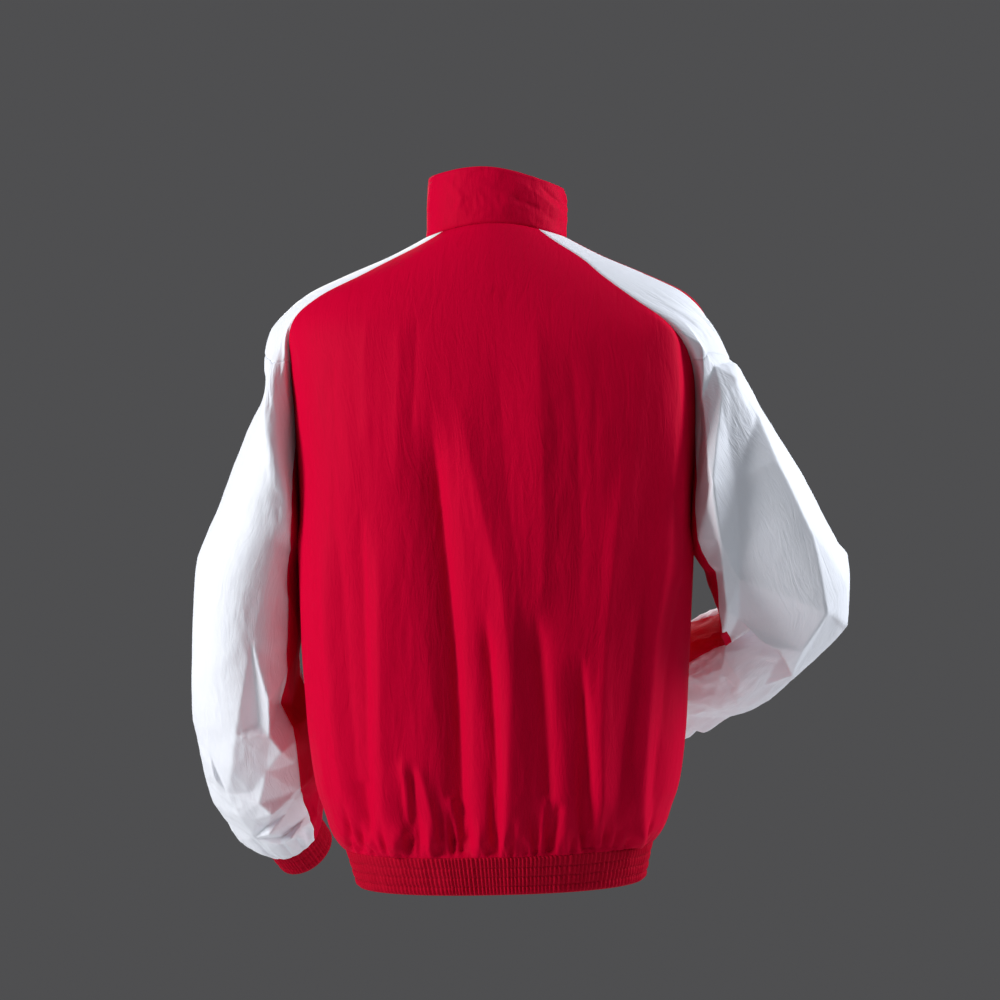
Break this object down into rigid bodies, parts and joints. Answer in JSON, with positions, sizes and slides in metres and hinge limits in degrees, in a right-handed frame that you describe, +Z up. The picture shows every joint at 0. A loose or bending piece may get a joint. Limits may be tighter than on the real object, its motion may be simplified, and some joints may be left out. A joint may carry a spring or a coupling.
{
  "type": "windbreaker jacket",
  "caption": "Zipped windbreaker jacket in crinkled nylon, filled out as worn, with white sleeves, a stand collar, ribbed cuffs and an elastic waistband; one arm hangs, one is bent.",
  "frame": {"origin": "middle of the neck opening, level with the shoulder ends of the collar seam", "axes": "+Z up, +X to the wearer's left, +Y to the wearer's back"},
  "size_m": [0.6969, 0.4311, 0.7678],
  "materials": {
    "nylon_red": "crinkled semi-matt nylon",
    "nylon_white": "crinkled semi-matt nylon",
    "rib_red": "elastic ribbed nylon",
    "zip_tape": "woven tape",
    "zip_chain": "moulded teeth",
    "zip_metal": "satin"
  },
  "bodies": {
    "jacket": {"back": "nylon_red", "front_left": "nylon_red", "front_right": "nylon_red", "shoulder_left": "nylon_white", "shoulder_right": "nylon_white", "sleeve_left": "nylon_white", "sleeve_right": "nylon_white", "under_sleeve_left": "nylon_red", "under_sleeve_right": "nylon_red", "cuff_left": "rib_red", "cuff_right": "rib_red", "waistband": "rib_red", "collar": "nylon_red", "zip_tape_left": "zip_tape", "zip_tape_right": "zip_tape", "zip_chain": "zip_chain", "zip_slider": "zip_metal"},
    "zip_pull": {"zip_pull_tab": "zip_metal"}
  },
  "joints": [
    {"name": "zip_pull_hinge", "type": "hinge", "parent": "jacket", "child": "zip_pull", "pos_m": [0, -0.08128, -0.01521], "axis": [-1, 0, 0], "range_deg": [0, 150]}
  ]
}
